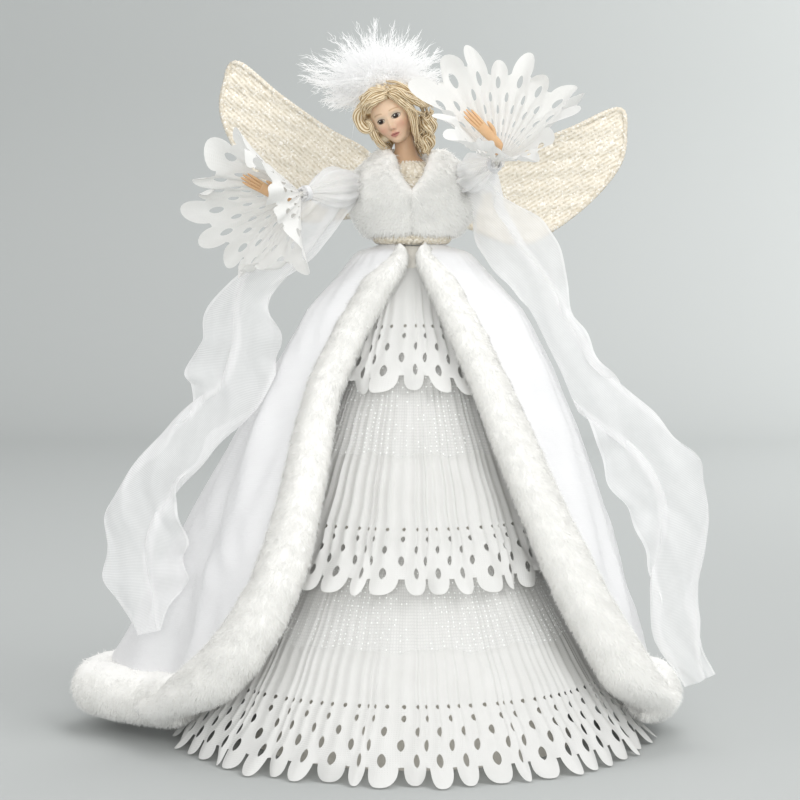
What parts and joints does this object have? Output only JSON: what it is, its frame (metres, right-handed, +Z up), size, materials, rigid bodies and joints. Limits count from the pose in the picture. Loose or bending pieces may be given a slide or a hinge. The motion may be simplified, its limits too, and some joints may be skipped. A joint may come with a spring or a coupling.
{
  "type": "angel tree topper",
  "caption": "Doll angel in a tiered lace gown and fur-edged coat on a hollow cone that goes over a tree's tip, with arms and wings that bend on wires.",
  "frame": {"origin": "centre of the cone's foot, on the surface that the topper stands on when it is off the tree", "axes": "+Z up along the cone, the doll faces -Y, and its own left hand is on +X"},
  "size_m": [0.3624, 0.286, 0.407],
  "materials": {
    "cone_board": "matte",
    "torso_foam": "matte",
    "eyelet_cotton": "matte",
    "bead_net": "gloss",
    "coat_satin": "satin",
    "faux_fur": "matte",
    "organza": "satin",
    "cream_lace": "satin",
    "skin_resin": "matte",
    "hair_resin": "satin",
    "steel_wire": "satin",
    "marabou": "matte"
  },
  "bodies": {
    "doll": {"inner_cone": "cone_board", "bottom_tier": "eyelet_cotton", "lower_bead_tier": "bead_net", "middle_tier": "eyelet_cotton", "upper_bead_tier": "bead_net", "apron_tier": "eyelet_cotton", "torso_form": "torso_foam", "bodice": "cream_lace", "waist_belt": "cream_lace", "coat": "coat_satin", "coat_trim_left": "faux_fur", "coat_trim_right": "faux_fur", "coat_hem_fur": "faux_fur", "head": "skin_resin", "hair": "hair_resin", "neck_lace": "cream_lace", "halo_feathers": "marabou", "fur_stole_left": "faux_fur", "fur_stole_right": "faux_fur", "left_streamer": "organza", "right_streamer": "organza", "wing_patch": "cream_lace"},
    "left_arm": {"left_arm_wire": "steel_wire", "left_sleeve": "organza", "left_wrist_tie": "coat_satin", "left_cuff": "eyelet_cotton", "left_hand": "skin_resin"},
    "right_arm": {"right_arm_wire": "steel_wire", "right_sleeve": "organza", "right_wrist_tie": "coat_satin", "right_cuff": "eyelet_cotton", "right_hand": "skin_resin"},
    "left_wing_body": {"left_wing_wire": "steel_wire", "left_wing": "cream_lace"},
    "right_wing_body": {"right_wing_wire": "steel_wire", "right_wing": "cream_lace"}
  },
  "joints": [
    {"name": "left_shoulder", "type": "hinge", "parent": "doll", "child": "left_arm", "pos_m": [0.0255, 0, 0.317], "axis": [0, -1, 0], "range_deg": [-45, 10], "deforming": ["left_streamer"]},
    {"name": "right_shoulder", "type": "hinge", "parent": "doll", "child": "right_arm", "pos_m": [-0.0255, 0, 0.317], "axis": [0, 1, 0], "range_deg": [-20, 35], "deforming": ["right_streamer"]},
    {"name": "left_wing_fold", "type": "hinge", "parent": "doll", "child": "left_wing_body", "pos_m": [0.011, 0.0313, 0.3003], "axis": [0, 0, 1], "range_deg": [-6, 55]},
    {"name": "right_wing_fold", "type": "hinge", "parent": "doll", "child": "right_wing_body", "pos_m": [-0.011, 0.0313, 0.3003], "axis": [0, 0, -1], "range_deg": [-6, 55]}
  ]
}
